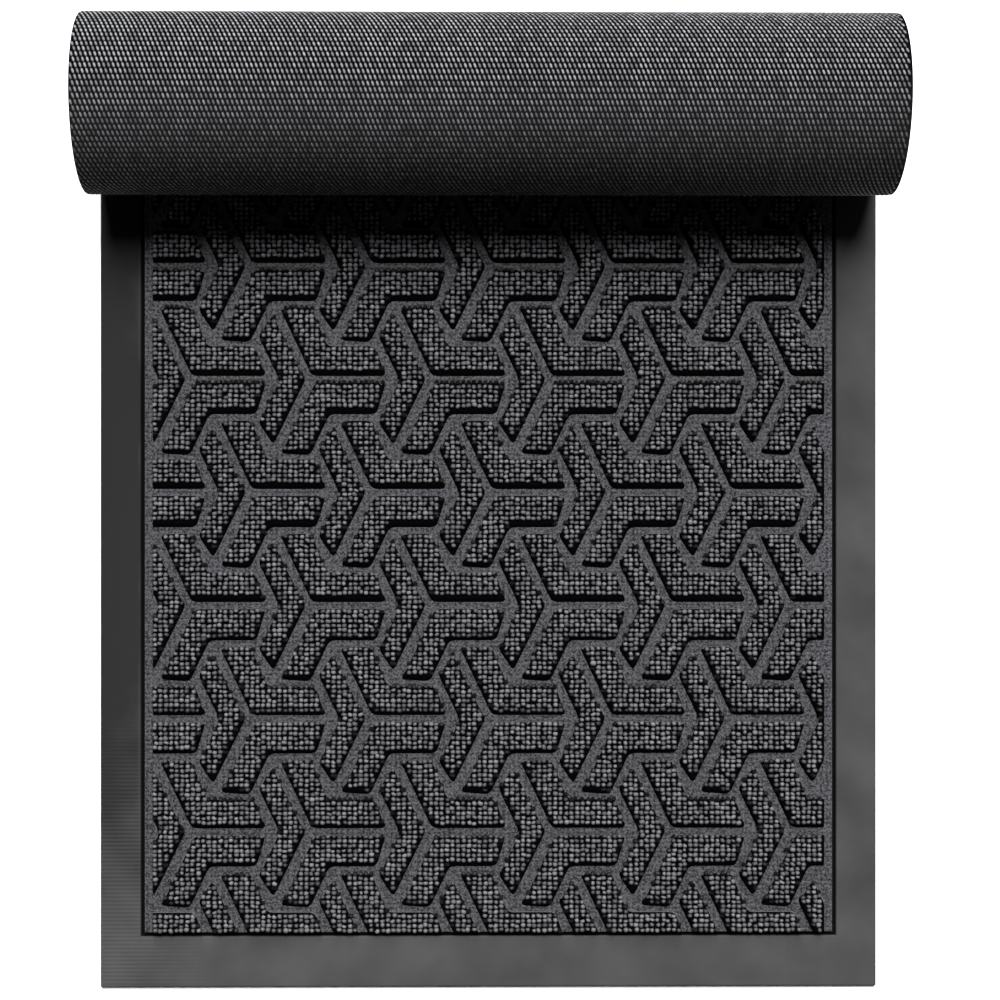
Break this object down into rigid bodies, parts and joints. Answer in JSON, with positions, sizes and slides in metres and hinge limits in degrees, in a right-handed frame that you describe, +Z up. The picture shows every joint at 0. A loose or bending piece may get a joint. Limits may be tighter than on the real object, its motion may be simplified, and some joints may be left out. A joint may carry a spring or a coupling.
{
  "type": "door mat",
  "caption": "Rubber-backed door mat with a raised border and a looped-pile carpet field in a geometric raised pattern, its far end rolled up; it unrolls flat.",
  "frame": {"origin": "on the floor under the middle of the rolled mat's bounding box", "axes": "+X across the mat, +Y along it from the near edge towards the roll, +Z up from the floor"},
  "size_m": [0.432, 0.5302, 0.0957],
  "materials": {
    "rubber": "matte moulded black rubber, with a cloth-textured grip underside",
    "carpet": "charcoal polypropylene carpet: looped pile on the raised islands, pressed flat felt between them"
  },
  "bodies": {
    "flat_panel": {"rubber_panel": "rubber", "carpet_panel": "carpet"},
    "strip_01": {"rubber_strip_01": "rubber", "carpet_strip_01": "carpet"},
    "strip_02": {"rubber_strip_02": "rubber", "carpet_strip_02": "carpet"},
    "strip_03": {"rubber_strip_03": "rubber", "carpet_strip_03": "carpet"},
    "strip_04": {"rubber_strip_04": "rubber", "carpet_strip_04": "carpet"},
    "strip_05": {"rubber_strip_05": "rubber", "carpet_strip_05": "carpet"},
    "strip_06": {"rubber_strip_06": "rubber", "carpet_strip_06": "carpet"},
    "strip_07": {"rubber_strip_07": "rubber", "carpet_strip_07": "carpet"},
    "strip_08": {"rubber_strip_08": "rubber", "carpet_strip_08": "carpet"},
    "strip_09": {"rubber_strip_09": "rubber", "carpet_strip_09": "carpet"},
    "strip_10": {"rubber_strip_10": "rubber", "carpet_strip_10": "carpet"},
    "strip_11": {"rubber_strip_11": "rubber", "carpet_strip_11": "carpet"},
    "strip_12": {"rubber_strip_12": "rubber", "carpet_strip_12": "carpet"},
    "strip_13": {"rubber_strip_13": "rubber", "carpet_strip_13": "carpet"},
    "strip_14": {"rubber_strip_14": "rubber", "carpet_strip_14": "carpet"},
    "strip_15": {"rubber_strip_15": "rubber", "carpet_strip_15": "carpet"},
    "strip_16": {"rubber_strip_16": "rubber", "carpet_strip_16": "carpet"},
    "strip_17": {"rubber_strip_17": "rubber", "carpet_strip_17": "carpet"},
    "strip_18": {"rubber_strip_18": "rubber", "carpet_strip_18": "carpet"},
    "strip_19": {"rubber_strip_19": "rubber", "carpet_strip_19": "carpet"},
    "strip_20": {"rubber_strip_20": "rubber", "carpet_strip_20": "carpet"},
    "strip_21": {"rubber_strip_21": "rubber", "carpet_strip_21": "carpet"},
    "strip_22": {"rubber_strip_22": "rubber"},
    "strip_23": {"rubber_strip_23": "rubber"},
    "strip_24": {"rubber_strip_24": "rubber"}
  },
  "joints": [
    {"name": "unroll", "type": "hinge", "parent": "flat_panel", "child": "strip_01", "pos_m": [0, 0.22271, 0], "axis": [-1, 0, 0], "range_deg": [0, 13.27]},
    {"name": "unroll_02", "type": "hinge", "parent": "strip_01", "child": "strip_02", "pos_m": [0, 0.23351, 0.00255], "axis": [-1, 0, 0], "range_deg": [0, 13.27]},
    {"name": "unroll_03", "type": "hinge", "parent": "strip_02", "child": "strip_03", "pos_m": [0, 0.24343, 0.0075], "axis": [-1, 0, 0], "range_deg": [0, 13.27]},
    {"name": "unroll_04", "type": "hinge", "parent": "strip_03", "child": "strip_04", "pos_m": [0, 0.25195, 0.0146], "axis": [-1, 0, 0], "range_deg": [0, 13.27]},
    {"name": "unroll_05", "type": "hinge", "parent": "strip_04", "child": "strip_05", "pos_m": [0, 0.25862, 0.02347], "axis": [-1, 0, 0], "range_deg": [0, 13.27]},
    {"name": "unroll_06", "type": "hinge", "parent": "strip_05", "child": "strip_06", "pos_m": [0, 0.26307, 0.03363], "axis": [-1, 0, 0], "range_deg": [0, 13.27]},
    {"name": "unroll_07", "type": "hinge", "parent": "strip_06", "child": "strip_07", "pos_m": [0, 0.26507, 0.04455], "axis": [-1, 0, 0], "range_deg": [0, 13.27]},
    {"name": "unroll_08", "type": "hinge", "parent": "strip_07", "child": "strip_08", "pos_m": [0, 0.26451, 0.05562], "axis": [-1, 0, 0], "range_deg": [0, 13.27]},
    {"name": "unroll_09", "type": "hinge", "parent": "strip_08", "child": "strip_09", "pos_m": [0, 0.26142, 0.06628], "axis": [-1, 0, 0], "range_deg": [0, 13.27]},
    {"name": "unroll_10", "type": "hinge", "parent": "strip_09", "child": "strip_10", "pos_m": [0, 0.25597, 0.07594], "axis": [-1, 0, 0], "range_deg": [0, 13.27]},
    {"name": "unroll_11", "type": "hinge", "parent": "strip_10", "child": "strip_11", "pos_m": [0, 0.24844, 0.08409], "axis": [-1, 0, 0], "range_deg": [0, 13.27]},
    {"name": "unroll_12", "type": "hinge", "parent": "strip_11", "child": "strip_12", "pos_m": [0, 0.23925, 0.0903], "axis": [-1, 0, 0], "range_deg": [0, 13.27]},
    {"name": "unroll_13", "type": "hinge", "parent": "strip_12", "child": "strip_13", "pos_m": [0, 0.22888, 0.09423], "axis": [-1, 0, 0], "range_deg": [0, 13.27]},
    {"name": "unroll_14", "type": "hinge", "parent": "strip_13", "child": "strip_14", "pos_m": [0, 0.21788, 0.09567], "axis": [-1, 0, 0], "range_deg": [0, 13.27]},
    {"name": "unroll_15", "type": "hinge", "parent": "strip_14", "child": "strip_15", "pos_m": [0, 0.20684, 0.09456], "axis": [-1, 0, 0], "range_deg": [0, 13.27]},
    {"name": "unroll_16", "type": "hinge", "parent": "strip_15", "child": "strip_16", "pos_m": [0, 0.19636, 0.09093], "axis": [-1, 0, 0], "range_deg": [0, 13.27]},
    {"name": "unroll_17", "type": "hinge", "parent": "strip_16", "child": "strip_17", "pos_m": [0, 0.18699, 0.085], "axis": [-1, 0, 0], "range_deg": [0, 13.27]},
    {"name": "unroll_18", "type": "hinge", "parent": "strip_17", "child": "strip_18", "pos_m": [0, 0.17922, 0.07708], "axis": [-1, 0, 0], "range_deg": [0, 13.27]},
    {"name": "unroll_19", "type": "hinge", "parent": "strip_18", "child": "strip_19", "pos_m": [0, 0.17349, 0.06758], "axis": [-1, 0, 0], "range_deg": [0, 13.27]},
    {"name": "unroll_20", "type": "hinge", "parent": "strip_19", "child": "strip_20", "pos_m": [0, 0.17009, 0.05702], "axis": [-1, 0, 0], "range_deg": [0, 13.27]},
    {"name": "unroll_21", "type": "hinge", "parent": "strip_20", "child": "strip_21", "pos_m": [0, 0.1692, 0.04597], "axis": [-1, 0, 0], "range_deg": [0, 13.27]},
    {"name": "unroll_22", "type": "hinge", "parent": "strip_21", "child": "strip_22", "pos_m": [0, 0.17087, 0.035], "axis": [-1, 0, 0], "range_deg": [0, 13.27]},
    {"name": "unroll_23", "type": "hinge", "parent": "strip_22", "child": "strip_23", "pos_m": [0, 0.17502, 0.02471], "axis": [-1, 0, 0], "range_deg": [0, 13.27]},
    {"name": "unroll_24", "type": "hinge", "parent": "strip_23", "child": "strip_24", "pos_m": [0, 0.18141, 0.01565], "axis": [-1, 0, 0], "range_deg": [0, 13.27]}
  ],
  "couplings": [
    {"joint": "unroll_02", "follows": "unroll", "ratio": 1},
    {"joint": "unroll_03", "follows": "unroll", "ratio": 1},
    {"joint": "unroll_04", "follows": "unroll", "ratio": 1},
    {"joint": "unroll_05", "follows": "unroll", "ratio": 1},
    {"joint": "unroll_06", "follows": "unroll", "ratio": 1},
    {"joint": "unroll_07", "follows": "unroll", "ratio": 1},
    {"joint": "unroll_08", "follows": "unroll", "ratio": 1},
    {"joint": "unroll_09", "follows": "unroll", "ratio": 1},
    {"joint": "unroll_10", "follows": "unroll", "ratio": 1},
    {"joint": "unroll_11", "follows": "unroll", "ratio": 1},
    {"joint": "unroll_12", "follows": "unroll", "ratio": 1},
    {"joint": "unroll_13", "follows": "unroll", "ratio": 1},
    {"joint": "unroll_14", "follows": "unroll", "ratio": 1},
    {"joint": "unroll_15", "follows": "unroll", "ratio": 1},
    {"joint": "unroll_16", "follows": "unroll", "ratio": 1},
    {"joint": "unroll_17", "follows": "unroll", "ratio": 1},
    {"joint": "unroll_18", "follows": "unroll", "ratio": 1},
    {"joint": "unroll_19", "follows": "unroll", "ratio": 1},
    {"joint": "unroll_20", "follows": "unroll", "ratio": 1},
    {"joint": "unroll_21", "follows": "unroll", "ratio": 1},
    {"joint": "unroll_22", "follows": "unroll", "ratio": 1},
    {"joint": "unroll_23", "follows": "unroll", "ratio": 1},
    {"joint": "unroll_24", "follows": "unroll", "ratio": 1}
  ]
}
